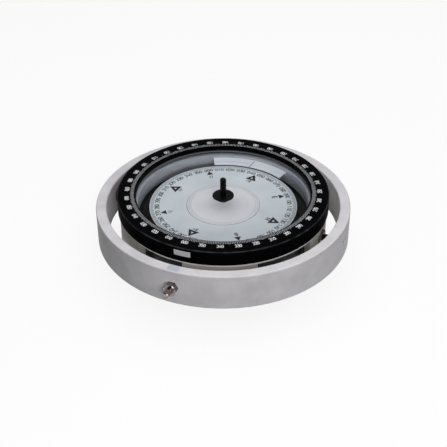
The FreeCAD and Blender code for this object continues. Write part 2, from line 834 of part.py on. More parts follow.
def diaphragm():
    """Sheet diaphragm with concentric corrugations between a flat rim and a lower flat middle."""
    outer = rebate_radius - seat_gap
    wave_outer = outer - diaphragm_rim
    top = diaphragm_top
    half_waves = 2 * diaphragm_wave_count - 1
    step = (wave_outer - outer * diaphragm_middle_share) / half_waves
    upper = [(outer, top)]
    for index in range(half_waves + 1):
        drop = diaphragm_wave_height if index % 2 else 0
        upper.append((wave_outer - index * step, top - drop))
    upper.append((0, top - diaphragm_wave_height))
    lower = [(radius, height - diaphragm_skin) for radius, height in reversed(upper)]
    return turned(upper + lower)


def diaphragm_gasket():
    """Flat seal between the diaphragm's rim and the bowl."""
    return ring_of(chamber_radius - rebate_width, rebate_radius - seat_gap, diaphragm_top,
                   diaphragm_top + gasket_thickness)


def bottom_cover():
    """Dished cover that clamps the diaphragm and gives the bowl its flat base."""
    spigot_outer = rebate_radius - seat_gap
    spigot_inner = spigot_outer - cover_spigot_width
    spigot_top = diaphragm_top - diaphragm_skin
    flange_low = cover_flange_bottom
    shoulder = Vector(cover_shoulder_radius, 0, flange_low)
    base_edge = Vector(cover_base_radius, 0, 0)
    chord = base_edge - shoulder
    outward = Vector(-chord.z, 0, chord.x).normalize().multiply(cover_bulge)
    middle = (shoulder + base_edge).multiply(1 / 2) + outward
    rest = [base_edge, Vector(0, 0, 0), Vector(0, 0, cover_skin), Vector(cover_floor_radius, 0, cover_skin),
            Vector(spigot_inner, 0, flange_low), Vector(spigot_inner, 0, spigot_top),
            Vector(spigot_outer, 0, spigot_top), Vector(spigot_outer, 0, bowl_bottom),
            Vector(cover_flange_radius, 0, bowl_bottom), Vector(cover_flange_radius, 0, flange_low), shoulder]
    edges = [Part.Arc(shoulder, middle, base_edge).toShape()]
    edges += [Part.makeLine(here, there) for here, there in zip(rest, rest[1:])]
    cover = Part.Face(Part.Wire(edges)).revolve(Vector(0, 0, 0), Vector(0, 0, 1), full_turn)
    for angle in cover_screw_places():
        start = at_angle(cover_screw_circle, angle, flange_low)
        cover = cover.cut(rod(cover_screw_radius + fastener_gap, start, Vector(0, 0, 1),
                              cover_flange_thickness))
    for angle in weight_screw_places():
        start = at_angle(weight_screw_circle, angle, cover_skin - weight_screw_bite - seat_gap)
        cover = cover.cut(rod(weight_screw_radius + fastener_gap, start, Vector(0, 0, 1), cover_skin))
    return cover


def cover_screw(angle):
    """Screw up through the cover's flange into the bowl."""
    start = at_angle(cover_screw_circle, angle, cover_flange_bottom)
    return screw(cover_screw_radius, cover_flange_thickness + cover_screw_grip, cover_screw_head_radius,
                 cover_screw_head_height, start, Vector(0, 0, 1))


def weight_screw_places():
    """Angles of the counterweight's screws."""
    return [full_turn * index / weight_screw_count for index in range(weight_screw_count)]


def counterweight():
    """Flat brass ring on the cover's floor."""
    ring = ring_of(weight_inner_radius, weight_outer_radius, cover_skin, weight_top)
    for angle in weight_screw_places():
        start = at_angle(weight_screw_circle, angle, cover_skin)
        ring = ring.cut(rod(weight_screw_radius + fastener_gap, start, Vector(0, 0, 1), weight_height))
    return ring


def counterweight_screw(angle):
    """Screw down through the counterweight into the cover's floor."""
    start = at_angle(weight_screw_circle, angle, weight_top)
    return screw(weight_screw_radius, weight_height + weight_screw_bite, weight_screw_head_radius,
                 weight_screw_head_height, start, Vector(0, 0, -1))


def save_ring():
    """The gimbal ring and what is fixed to it."""
    save("gimbal_ring", [gimbal_ring()])
    save("trunnion_stud_aft", [trunnion_stud(-1)])
    save("trunnion_stud_fore", [trunnion_stud(1)])
    save("trunnion_nuts", [trunnion_nut(side) for side in sides])
    save("bowl_pivot_port", [bowl_pivot(-1)])
    save("bowl_pivot_starboard", [bowl_pivot(1)])
    save("pivot_lock_nuts", [pivot_lock_nut(side) for side in sides])


def save_bowl():
    """The bowl's shell, window and what closes it."""
    save("bowl_body", [bowl_body()])
    save("pivot_bushes", [pivot_bush(side) for side in sides])
    save("bezel_ring", [bezel_ring()])
    save("bezel_screws", [bezel_screw(angle) for angle in bezel_screw_places()])
    save("top_glass", [top_glass()])
    save("glass_gasket_upper", [glass_gasket(glass_top)])
    save("glass_gasket_lower", [glass_gasket(bowl_top)])
    save("pin_base", [pin_base()])
    save("pin_base_seals", [pin_seal(glass_top), pin_seal(glass_bottom - pin_seal_thickness)])
    save("pin_base_nut", [pin_base_nut()])
    save("filling_plug", [filling_plug()])
    save("plug_washer", [plug_washer()])
    save("expansion_diaphragm", [diaphragm()])
    save("diaphragm_gasket", [diaphragm_gasket()])
    save("bottom_cover", [bottom_cover()])
    save("bottom_screws", [cover_screw(angle) for angle in cover_screw_places()])
    save("counterweight", [counterweight()])
    save("counterweight_screws", [counterweight_screw(angle) for angle in weight_screw_places()])


def save_fittings():
    """What is fixed inside the bowl: lubber plate, bridge and pivot."""
    save("lubber_plate", [lubber_plate()])
    save("lubber_rivets", [lubber_rivet(direction, start) for direction, start in rivet_lines()])
    save("pivot_bridge", [pivot_bridge()])
    save("bridge_screws", [bridge_screw(x_place, side) for x_place, side in bridge_screw_places()])
    save("pivot_post", [pivot_post()])
    save("pivot_tip", [pivot_tip()])
    save("pivot_nut", [pivot_nut()])


def save_card():
    """The card, its float, bearing and magnets."""
    save("card_disc", [card_disc()])
    save("float_top", [float_top()])
    save("float_bottom", [float_bottom()])
    save("jewel_cup", [jewel_cup()])
    save("pivot_jewel", [pivot_jewel()])
    save("magnets", [magnet(side) for side in sides])
    save("magnet_carriers", [magnet_carrier(side) for side in sides])


save_ring()
save_bowl()
save_fittings()
save_card()
save("shadow_pin", [shadow_pin()])
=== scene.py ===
"""Looks of a marine magnetic compass: a liquid bowl in its gimbal ring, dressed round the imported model."""

import logging
import math
from dataclasses import dataclass
from enum import Enum

import bmesh
import bpy
import numpy as np
from mathutils import Matrix


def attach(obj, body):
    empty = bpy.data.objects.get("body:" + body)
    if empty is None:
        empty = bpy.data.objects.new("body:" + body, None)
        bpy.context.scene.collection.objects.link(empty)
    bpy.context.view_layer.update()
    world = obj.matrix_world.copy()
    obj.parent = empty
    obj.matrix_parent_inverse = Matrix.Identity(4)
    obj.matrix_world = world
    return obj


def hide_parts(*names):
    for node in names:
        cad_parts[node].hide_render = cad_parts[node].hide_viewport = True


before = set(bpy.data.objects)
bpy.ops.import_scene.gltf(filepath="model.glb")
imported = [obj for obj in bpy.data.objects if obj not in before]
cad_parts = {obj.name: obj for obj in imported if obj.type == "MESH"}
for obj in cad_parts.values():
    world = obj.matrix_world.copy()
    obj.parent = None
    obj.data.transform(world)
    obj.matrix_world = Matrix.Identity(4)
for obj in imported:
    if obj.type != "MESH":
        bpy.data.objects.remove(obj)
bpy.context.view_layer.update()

MM = 0.001
PHOTO_SIDE = 447
WHITE = (1.0, 1.0, 1.0, 1.0)
SHARPEST_MITRE = 0.7
ARC_STEP_DEGREES = 22

Socket = bpy.types.NodeSocket
Spot = tuple[float, float, float]

log = logging.getLogger("compass")


class Body(str, Enum):
    """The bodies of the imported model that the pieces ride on."""

    RING = "ring"
    BOWL = "bowl"
    CARD = "card"


class Reading(Enum):
    """Which way the tops of the figures on a round scale point."""

    FROM_OUTSIDE = -1.0
    FROM_CENTRE = 1.0


# Helpers for the node trees.


def to_linear(code: str) -> tuple[float, float, float, float]:
    """Turns an sRGB colour "#rrggbb" into the linear colour, with an alpha of 1, that a socket takes."""
    raw = np.array([int(code[place:place + 2], 16) for place in (1, 3, 5)]) / 255.0
    linear = np.where(raw <= 0.04045, raw / 12.92, ((raw + 0.055) / 1.055) ** 2.4)
    return (float(linear[0]), float(linear[1]), float(linear[2]), 1.0)


def add(tree: bpy.types.NodeTree, kind: str, sockets: dict | None = None, **settings) -> bpy.types.Node:
    """Adds one shader node.

    Args:
        tree: The tree that gets it.
        kind: Its type without the leading "ShaderNode".
        sockets: Values or output sockets for its inputs, by name or number.
        settings: Its own properties, such as operation.

    Returns:
        The new node.
    """
    made = tree.nodes.new("ShaderNode" + kind)
    for name, value in settings.items():
        setattr(made, name, value)
    for place, value in (sockets or {}).items():
        if isinstance(value, Socket):
            tree.links.new(value, made.inputs[place])
        else:
            made.inputs[place].default_value = value
    return made


def calc(tree: bpy.types.NodeTree, operation: str, first, second=0.0) -> Socket:
    """One step of arithmetic on two values, each a number or a socket."""
    return add(tree, "Math", {0: first, 1: second}, operation=operation).outputs[0]


@dataclass
class Bench:
    """A new material's tree with what every finish starts from.

    The point is in millimetres, so a pattern's scale is one over its real size.
    """

    tree: bpy.types.NodeTree
    shader: bpy.types.Node
    out: bpy.types.Node
    point: Socket

    def add(self, kind: str, sockets: dict | None = None, **settings) -> bpy.types.Node:
        """Adds a node to this tree."""
        return add(self.tree, kind, sockets, **settings)

    def noise(self, size_mm: float, detail: float = 2.0) -> Socket:
        """Soft random field from 0 to 1 with blotches of the given size."""
        sockets = {"Vector": self.point, "Scale": 1.0 / size_mm, "Detail": detail}
        return self.add("TexNoise", sockets).outputs[0]

    def rings(self, radius: Socket, width_mm: float, detail: float = 2.0) -> Socket:
        """Soft random rings about the compass's axis, each about as wide as given."""
        sockets = {"W": self.calc("DIVIDE", radius, width_mm), "Scale": 1.0, "Detail": detail}
        return self.add("TexNoise", sockets, noise_dimensions="1D").outputs[0]

    def span(self, value: Socket, from_low: float, from_high: float, to_low: float = 0.0,
             to_high: float = 1.0) -> Socket:
        """Straight map of a value from one range to another, held at its ends."""
        return self.add("MapRange", {"Value": value, "From Min": from_low, "From Max": from_high,
                                     "To Min": to_low, "To Max": to_high}).outputs[0]

    def cloud(self, size_mm: float, detail: float, low: float, high: float) -> Socket:
        """Blotches of a size: 0 where the random field is under low, 1 where it is over high."""
        return self.span(self.noise(size_mm, detail), low, high)

    def blend(self, share: Socket | float, low, high) -> Socket:
        """Colour between low and high by a share from 0 to 1; each is a hex code or a socket."""
        ends = [to_linear(end) if isinstance(end, str) else end for end in (low, high)]
        return self.add("Mix", {0: share, 6: ends[0], 7: ends[1]}, data_type="RGBA").outputs[2]

    def calc(self, operation: str, first, second=0.0) -> Socket:
        """One step of arithmetic in this tree."""
        return calc(self.tree, operation, first, second)

    def both(self, first: Socket, second: Socket | float) -> Socket:
        """Product of two shares: 1 only where both are."""
        return self.calc("MULTIPLY", first, second)

    def roughen(self, middle: float, size_mm: float, under: float, over: float, detail: float = 2.0) -> None:
        """Roughness that wanders in patches of a size, so much under and over a middle value."""
        patches = self.span(self.noise(size_mm, detail), 0.3, 0.7, middle - under, middle + over)
        self.link(patches, "Roughness")

    def bump(self, height: Socket, depth_mm: float, strength: float = 1.0) -> None:
        """Gives the surface relief from a height field whose full range is depth_mm."""
        made = self.add("Bump", {"Height": height, "Distance": depth_mm * MM, "Strength": strength})
        self.tree.links.new(made.outputs[0], self.shader.inputs["Normal"])

    def link(self, value: Socket, socket: str) -> None:
        """Feeds one input of the main shader."""
        self.tree.links.new(value, self.shader.inputs[socket])

    def polar(self) -> tuple[Socket, Socket]:
        """Distance from the compass's axis and height, both in millimetres."""
        apart = self.add("SeparateXYZ", {0: self.point}).outputs
        flat = self.add("CombineXYZ", {0: apart[0], 1: apart[1]}).outputs[0]
        return self.add("VectorMath", {0: flat}, operation="LENGTH").outputs[1], apart[2]


# Finishes.


@dataclass(frozen=True)
class Finish:
    """A surface finish; gloss is the strength of its mirror part, 0.5 the shader's own."""

    name: str
    colour: str
    roughness: float
    gloss: float = 0.5

    def material(self) -> bpy.types.Material:
        """Builds the material on the first call and hands it out again later."""
        found = bpy.data.materials.get(self.name)
        if found is not None:
            return found
        made = bpy.data.materials.new(self.name)
        made.use_nodes = True
        tree = made.node_tree
        tree.nodes.clear()
        out = add(tree, "OutputMaterial")
        sockets = {"Base Color": to_linear(self.colour), "Roughness": self.roughness,
                   "Specular IOR Level": self.gloss}
        shader = add(tree, "BsdfPrincipled", sockets)
        tree.links.new(shader.outputs[0], out.inputs[0])
        place = add(tree, "TexCoord").outputs["Object"]
        point = add(tree, "VectorMath", {0: place, 3: 1.0 / MM}, operation="SCALE").outputs[0]
        self.dress(Bench(tree, shader, out, point))
        made.diffuse_color = to_linear(self.colour)
        return made

    def dress(self, bench: Bench) -> None:
        """Adds what sets this finish apart; the plain one stays as it is."""


@dataclass(frozen=True)
class SprayedEnamel(Finish):
    """Stoved enamel sprayed on a casting: even colour, soft gloss, faint orange peel, a little grime."""

    shade: str = "#c9c9c7"
    speck: str = "#8b877f"
    speck_share: float = 0.35
    speck_mm: float = 2.4
    blotch_mm: float = 26.0
    peel_mm: float = 1.6
    peel_depth_mm: float = 0.012
    gloss: float = 0.3
    gloss_mm: float = 7.0

    def coat(self, bench: Bench) -> Socket:
        """Colour of the coat: blotches of a slightly dirtier shade and a few specks."""
        specks = bench.both(bench.cloud(self.speck_mm, 3.0, 0.70, 0.78), self.speck_share)
        dirty = bench.blend(bench.cloud(self.blotch_mm, 4.0, 0.38, 0.78), self.colour, self.shade)
        return bench.blend(specks, dirty, self.speck)

    def dress(self, bench: Bench) -> None:
        """The coat's colour, peel in the relief and a gloss that varies a little."""
        bench.link(self.coat(bench), "Base Color")
        bench.roughen(self.roughness, self.gloss_mm, 0.05, 0.08)
        bench.bump(bench.noise(self.peel_mm, 1.0), self.peel_depth_mm)


@dataclass(frozen=True)
class BowlCasting(SprayedEnamel):
    """The bowl: beige enamel outside, pale grey lacquer on the wall inside, dull black below the shelf.

    Painted shade, near black, lies on the wall in the pockets, and a painted highlight, near white, on the
    outer face of the top rim. The radii and heights are those of the casting's own faces.
    """

    liner: str = "#c6c8cf"
    liner_shade: str = "#b6b7bf"
    shelf_edge: str = "#d4d6da"
    chamber: str = "#15161a"
    pocket_shade: str = "#0c0c0d"
    flange_highlight: str = "#f2f1ef"
    liner_mm: float = 18.0
    wall_mm: float = 97.5
    chamber_mm: float = 103.0
    shelf_mm: float = 40.4
    edge_mm: float = 41.3
    pocket_mm: tuple[float, float] = (103.6, 108.4)
    pocket_low_mm: float = 34.4
    pocket_high_mm: float = 68.6

    def coat(self, bench: Bench) -> Socket:
        """Chooses the paint by the distance from the axis and the height; the pockets' wall gets painted
        shade, near black, and the outer face of the top rim a painted highlight, near white.
        """
        enamel = super().coat(bench)
        radius, height = bench.polar()
        near, far = self.pocket_mm
        # Painted shade: the recessed wall in the pockets is painted near black to stand in for the shade in
        # the recesses.
        shaded_pocket_wall = bench.both(bench.span(radius, far + 0.3, far), bench.span(radius, near, near + 0.3))
        level = bench.both(bench.span(height, self.pocket_low_mm, self.pocket_low_mm + 0.4),
                           bench.span(height, self.pocket_high_mm + 0.3, self.pocket_high_mm))
        # Painted highlight: the outer face of the top rim is painted near white to stand in for light falling
        # on it.
        flange_highlight = bench.span(height, self.pocket_high_mm, self.pocket_high_mm + 0.2)
        walls = bench.blend(flange_highlight, enamel, self.flange_highlight)
        outside = bench.blend(bench.both(shaded_pocket_wall, level), walls, self.pocket_shade)
        liner = bench.blend(bench.cloud(self.liner_mm, 3.0, 0.35, 0.7), self.liner, self.liner_shade)
        lip = bench.blend(bench.span(height, self.edge_mm - 0.3, self.edge_mm), self.shelf_edge, liner)
        wall = bench.blend(bench.span(height, self.shelf_mm - 0.3, self.shelf_mm), self.chamber, lip)
        deep = bench.blend(bench.span(height, self.shelf_mm, self.shelf_mm + 0.4), self.chamber, outside)
        inside = bench.blend(bench.span(radius, self.wall_mm, self.wall_mm + 0.2), wall, outside)
        low = bench.blend(bench.span(radius, self.chamber_mm, self.chamber_mm + 0.2), deep, outside)
        above = bench.span(height, self.shelf_mm - 0.5, self.shelf_mm - 0.4)
        return bench.blend(above, low, inside)


@dataclass(frozen=True)
class CoverPaint(SprayedEnamel):
    """The bowl's bottom cover: the bowl's beige enamel outside, dull black on each face inside."""

    chamber: str = "#15161a"
    middle_mm: Spot = (0.0, 0.0, 60.0)

    def coat(self, bench: Bench) -> Socket:
        """Outside is where the face looks away from a point in the middle of the bowl."""
        facing = bench.add("TexCoord").outputs["Normal"]
        away = bench.add("VectorMath", {0: bench.point, 1: self.middle_mm}, operation="SUBTRACT").outputs[0]
        outward = bench.add("VectorMath", {0: facing, 1: away}, operation="DOT_PRODUCT").outputs[1]
        return bench.blend(bench.span(outward, -0.5, 0.5), self.chamber, super().coat(bench))


@dataclass(frozen=True)
class TurnedBlack(Finish):
    """Satin black paint on a turned ring, with a painted highlight in paler patches along its outer top edge.
    """

    dust_and_shade: str = "#050608"
    edge_highlight: str = "#3a3b3f"
    bead: str = "#8a8e96"
    dust_mm: float = 30.0
    edge_highlight_mm: float = 9.0
    gloss_mm: float = 6.0
    line_mm: float = 0.35
    line_depth_mm: float = 0.008
    face_mm: float = 88.5
    edge_radius_mm: float = 116.8
    bore_mm: float = 96.8
    bead_mm: tuple[float, float] = (80.8, 84.0)
    gloss: float = 0.015

    def dress(self, bench: Bench) -> None:
        """Turning lines in the relief, a painted highlight on the outer top edge, a faint dusting, a grey
        sealing bead at the glass.
        """
        radius, height = bench.polar()
        dust_and_shade_mix = bench.blend(bench.cloud(self.dust_mm, 4.0, 0.45, 0.8), self.colour, self.dust_and_shade)
        # Painted highlight: patches of paler grey on the outer top edge stand in for light catching the edge.
        outer = bench.span(radius, self.edge_radius_mm - 0.5, self.edge_radius_mm)
        upper = bench.span(height, self.face_mm - 1.3, self.face_mm - 0.7)
        edge_highlight_patches = bench.span(bench.noise(self.edge_highlight_mm, 4.0), 0.35, 0.62, 0.15)
        black = bench.blend(bench.both(bench.both(outer, upper), edge_highlight_patches), dust_and_shade_mix, self.edge_highlight)
        low, high = self.bead_mm
        bead = bench.both(bench.span(radius, self.bore_mm + 0.5, self.bore_mm + 0.3),
                          bench.span(height, high, low))
        bench.link(bench.blend(bead, black, self.bead), "Base Color")
        bench.roughen(self.roughness, self.gloss_mm, 0.04, 0.1)
        bench.bump(bench.rings(radius, self.line_mm, 1.0), self.line_depth_mm, 0.6)


@dataclass(frozen=True)
class MachinedMetal(Finish):
    """Turned or milled metal with fine cutter marks and slight tarnish."""

    tarnish: str = "#8a8580"
    mark_mm: float = 0.5
    depth_mm: float = 0.006
    blotch_mm: float = 5.0
    gloss_mm: float = 1.5

    def dress(self, bench: Bench) -> None:
        """Full metal, tarnish in blotches and cutter marks in the relief."""
        bench.shader.inputs["Metallic"].default_value = 1.0
        tarnished = bench.cloud(self.blotch_mm, 4.0, 0.4, 0.75)
        bench.link(bench.blend(tarnished, self.colour, self.tarnish), "Base Color")
        bench.roughen(self.roughness, self.gloss_mm, 0.06, 0.12, detail=3.0)
        bench.bump(bench.noise(self.mark_mm), self.depth_mm)


@dataclass(frozen=True)
class CastSkin(Finish):
    """Rough casting or moulding, matt, with the grit of its mould."""

    grain: str = "#202020"
    grit_mm: float = 0.9
    depth_mm: float = 0.03

    def dress(self, bench: Bench) -> None:
        """Grains in colour and relief."""
        grains = bench.cloud(self.grit_mm, 3.0, 0.4, 0.7)
        bench.link(bench.blend(grains, self.colour, self.grain), "Base Color")
        bench.bump(grains, self.depth_mm)


@dataclass(frozen=True)
class PressedSheet(Finish):
    """Thin pressed sheet with a matt pale lacquer and faint spun rings round the axis."""

    shade: str = "#b9bcc2"
    dust_and_shade: str = "#a9adb8"
    blotch_mm: float = 22.0
    ring_mm: float = 2.4
    ring_depth_mm: float = 0.02
    grooves_mm: tuple[float, ...] = ()
    groove_mm: float = 0.45

    def dress(self, bench: Bench) -> None:
        """Slight clouding, rings in the relief and painted shade along the pressed grooves."""
        radius, _ = bench.polar()
        tone = bench.blend(bench.cloud(self.blotch_mm, 3.0, 0.35, 0.75), self.colour, self.shade)
        # Painted shade: a darker ring is painted along each pressed groove.
        for groove in self.grooves_mm:
            apart = bench.calc("ABSOLUTE", bench.calc("SUBTRACT", radius, groove))
            dust_and_shade_mix = bench.span(apart, self.groove_mm, 0.4 * self.groove_mm, 0.0, 0.6)
            tone = bench.blend(dust_and_shade_mix, tone, self.dust_and_shade)
        bench.link(tone, "Base Color")
        bench.bump(bench.rings(radius, self.ring_mm), self.ring_depth_mm, 0.5)


@dataclass(frozen=True)
class WindowGlass(Finish):
    """Float glass with the liquid behind it: clear, slightly cool, bends the view of the card upwards.

    Its upper face bends camera rays as glass and liquid together do; all other light passes straight.
    """

    ior: float = 1.38
    tint: str = "#fcfdfe"
    smear_mm: float = 40.0

    def dress(self, bench: Bench) -> None:
        """Transmission for camera rays, plain clear for all others."""
        bench.shader.inputs["Transmission Weight"].default_value = 1.0
        bench.shader.inputs["IOR"].default_value = self.ior
        bench.link(bench.span(bench.noise(self.smear_mm, 3.0), 0.45, 0.8, 0.0, 0.02), "Roughness")
        clear = bench.add("BsdfTransparent", {0: to_linear(self.tint)})
        seen = bench.add("LightPath").outputs["Is Camera Ray"]
        mix = bench.add("MixShader", {0: seen, 1: clear.outputs[0], 2: bench.shader.outputs[0]})
        bench.tree.links.new(mix.outputs[0], bench.out.inputs[0])


@dataclass(frozen=True)
class LiquidFace(Finish):
    """Lower face of the window, unseen because glass and liquid bend light alike."""

    clouded: str = "#f5f7f9"
    cloud_mm: float = 60.0

    def dress(self, bench: Bench) -> None:
        """The faint cool tint of the liquid, a little cloudier here and there."""
        tint = bench.blend(bench.cloud(self.cloud_mm, 2.0, 0.3, 0.8), self.colour, self.clouded)
        clear = bench.add("BsdfTransparent", {0: tint})
        bench.tree.links.new(clear.outputs[0], bench.out.inputs[0])


@dataclass(frozen=True)
class Ink(Finish):
    """Matt printing ink or scale-filling paint, with tiny breaks of tone from its screen."""

    faded: str = "#3a3c42"
    screen_mm: float = 0.8

    def dress(self, bench: Bench) -> None:
        """Mottle at the screen's grain."""
        mottle = bench.cloud(self.screen_mm, 2.0, 0.45, 0.85)
        bench.link(bench.blend(mottle, self.colour, self.faded), "Base Color")


@dataclass(frozen=True)
class FloorPaper(Finish):
    """Matt white studio paper: white where the camera sees it lit, greyer in the object's shadow."""

    fibre: str = "#d2d2d2"
    bounce: str = "#3c3c3c"
    fibre_mm: float = 3.0
    glow_share: float = 0.8
    glow: float = 1.09

    def dress(self, bench: Bench) -> None:
        """Mostly its own light for camera, mirrors and glass; the rest is lit paper with the shadow."""
        path = bench.add("LightPath").outputs
        sight = bench.calc("MAXIMUM", path["Is Camera Ray"],
                           bench.calc("MAXIMUM", path["Is Glossy Ray"], path["Is Transmission Ray"]))
        paper = bench.blend(bench.cloud(self.fibre_mm, 3.0, 0.3, 0.7), self.colour, self.fibre)
        bench.link(bench.blend(sight, self.bounce, paper), "Base Color")
        glow = bench.add("Emission", {0: WHITE, 1: self.glow})
        share = bench.both(sight, self.glow_share)
        mix = bench.add("MixShader", {0: share, 1: bench.shader.outputs[0], 2: glow.outputs[0]})
        bench.tree.links.new(mix.outputs[0], bench.out.inputs[0])


RING_ENAMEL = SprayedEnamel("ring white enamel", "#e4e2e5", 0.42, shade="#cfcdd1", gloss=0.06)
BOWL_ENAMEL = BowlCasting("bowl casting paint", "#cdc9c0", 0.42, shade="#b9b4a9")
COVER_ENAMEL = CoverPaint("bottom cover paint", "#cdc9c0", 0.42, shade="#b9b4a9")
PLATE_ENAMEL = SprayedEnamel("lubber plate white enamel", "#eceff4", 0.45, shade="#dfe2e8")
BEZEL_BLACK = TurnedBlack("bezel satin black", "#050405", 0.3)
PIN_BLACK = CastSkin("black moulded plastic", "#030406", 0.34, grain="#07080b", grit_mm=0.8, depth_mm=0.02,
                     gloss=0.12)
RUBBER = CastSkin("black rubber", "#101012", 0.75, grain="#1b1b1d", grit_mm=1.2)
PALE_RUBBER = CastSkin("pale grey silicone rubber", "#a9abb0", 0.6, grain="#999ba1", grit_mm=1.2)
BRIDGE_BLACK = CastSkin("bridge black paint", "#131417", 0.55, grain="#1d1e22")
WEIGHT_GREY = CastSkin("grey paint on the counterweight", "#55575a", 0.6, grain="#3f4144", grit_mm=1.5,
                       depth_mm=0.08)
STAINLESS = MachinedMetal("stainless steel", "#9a9391", 0.16, tarnish="#5d5655", depth_mm=0.002,
                          blotch_mm=3.0)
BLACKENED = MachinedMetal("chemically blackened brass", "#1b1a1b", 0.45, tarnish="#0d0d0e")
MAGNET_STEEL = MachinedMetal("magnet steel", "#8e9094", 0.35, tarnish="#6c6d70")
HARD_POINT = MachinedMetal("pivot point alloy", "#d2d0cc", 0.18, tarnish="#b3b0ab")
BRASS = MachinedMetal("turned brass", "#c79f55", 0.28, tarnish="#8f7038")
CARD_FACE = PressedSheet("card pale lacquer", "#e3e9ec", 0.5, shade="#dae1e5")
# Its grooves_mm places rings of painted shade along the float lid's pressed grooves.
FLOAT_SKIN = PressedSheet("float pale lacquer", "#efeef1", 0.5, shade="#e6e5e9",
                          grooves_mm=(36.6, 38.8, 40.9))
JEWEL = CastSkin("pivot jewel", "#7f2230", 0.08, grain="#9a3040", grit_mm=2.0, depth_mm=0.0)
WINDOW = WindowGlass("window glass", "#ffffff", 0.0)
LIQUID = LiquidFace("liquid under the window", "#fbfcfd", 0.0)
SCALE_WHITE = Ink("white scale filling", "#e9ebef", 0.5, faded="#c9ccd3")
CARD_INK = Ink("black card ink", "#0a0b0f", 0.5, faded="#1c1e24")
FINE_INK = Ink("grey card ink", "#161b22", 0.5, faded="#2e363f")
PALE_LINE = Ink("pale lubber line", "#eef0f5", 0.5, faded="#dfe2e8")
LUBBER_INK = Ink("lubber mark ink", "#3a3d44", 0.5, faded="#565a62")
BLANK_FOIL = Ink("blank silver plate", "#c9c9cc", 0.35, faded="#b2b2b6")
BLANK_PAPER = Ink("blank bluish plate", "#c2c8d6", 0.45, faded="#b2b9c9")

NODE_FINISHES: dict[Finish, tuple[str, ...]] = {
    RING_ENAMEL: ("gimbal_ring",),
    BOWL_ENAMEL: ("bowl_body",),
    COVER_ENAMEL: ("bottom_cover",),
    PLATE_ENAMEL: ("lubber_plate",),
    BEZEL_BLACK: ("bezel_ring",),
    # The nut under the glass is black partly as painted shadow: seen through the window, it darkens the card
    # just below the pin base.
    PIN_BLACK: ("pin_base", "shadow_pin", "pin_base_nut"),
    RUBBER: ("glass_gasket_upper", "pin_base_seals", "plug_washer", "diaphragm_gasket"),
    PALE_RUBBER: ("glass_gasket_lower",),
    BRIDGE_BLACK: ("pivot_bridge", "expansion_diaphragm"),
    WEIGHT_GREY: ("counterweight",),
    STAINLESS: ("trunnion_stud_aft", "trunnion_stud_fore", "trunnion_nuts", "bezel_screws", "bottom_screws",
                "counterweight_screws", "bridge_screws", "lubber_rivets", "pivot_bushes"),
    BLACKENED: ("bowl_pivot_port", "bowl_pivot_starboard", "pivot_lock_nuts"),
    MAGNET_STEEL: ("magnets",),
    HARD_POINT: ("pivot_tip",),
    BRASS: ("filling_plug", "pivot_post", "pivot_nut", "jewel_cup", "magnet_carriers"),
    CARD_FACE: ("card_disc",),
    FLOAT_SKIN: ("float_top", "float_bottom"),
    JEWEL: ("pivot_jewel",),
}


# Surfaces.


@dataclass
class Skin:
    """Points and faces of one closed surface; finish is its place in the piece's list of finishes."""

    points: np.ndarray
    faces: list
    finish: int = 0


def lifted(flat: np.ndarray, level: float) -> np.ndarray:
    """Flat points raised to a height."""
    return np.column_stack((flat, np.full(len(flat), level)))


def grid_skin(points: np.ndarray, wrap_rows: bool = False) -> Skin:
    """Joins a grid of points into four-cornered faces: each point with the next in its row and column.

    Args:
        points: Array of rows x columns x 3; the last column joins the first.
        wrap_rows: Whether the last row joins the first.

    Returns:
        The surface.
    """
    rows, columns = points.shape[:2]
    row = np.arange(rows if wrap_rows else rows - 1)[:, None]
    column = np.arange(columns)[None, :]
    beside = (column + 1) % columns
    above = (row + 1) % rows * columns
    corners = [row * columns + column, row * columns + beside, above + beside, above + column]
    return Skin(points.reshape(-1, 3), np.stack(corners, axis=-1).reshape(-1, 4).tolist())


def capped(points: np.ndarray) -> Skin:
    """Tube through an array of sections x corners x 3, closed by a face on each end."""
    skin = grid_skin(points)
    sections, corners = points.shape[:2]
    last = (sections - 1) * corners
    skin.faces.append(list(range(corners))[::-1])
    skin.faces.append(list(range(last, last + corners)))
    return skin


def ribbon(line: np.ndarray, width: float, closed: bool, low: float, high: float) -> Skin:
    """Flat pen stroke: each point moves half a width to each side along the mitre of its two runs.

    Args:
        line: Array of n x 2 points of its middle.
        width: Width of the stroke.
        closed: Whether the end runs on into the start.
        low: Height of the underside.
        high: Height of the top.

    Returns:
        The stroke as a closed surface.
    """
    ahead = np.roll(line, -1, axis=0) - line
    behind = line - np.roll(line, 1, axis=0)
    if not closed:
        ahead[-1], behind[0] = behind[-1], ahead[0]
    across = [np.stack((-run[:, 1], run[:, 0]), axis=1) / np.linalg.norm(run, axis=1)[:, None]
              for run in (behind, ahead)]
    mitre = across[0] + across[1]
    mitre /= np.maximum((mitre * across[1]).sum(axis=1), SHARPEST_MITRE)[:, None]
    left, right = line + mitre * width / 2.0, line - mitre * width / 2.0
    levels = [(left, low), (left, high), (right, high), (right, low)]
    points = np.stack([lifted(edge, level) for edge, level in levels], axis=1)
    return grid_skin(points, wrap_rows=True) if closed else capped(points)


def slab(outline: np.ndarray, low: float, high: float) -> Skin:
    """Plate between two heights with a flat outline, which runs counter-clockwise."""
    return capped(np.stack([lifted(outline, level) for level in (low, high)]))


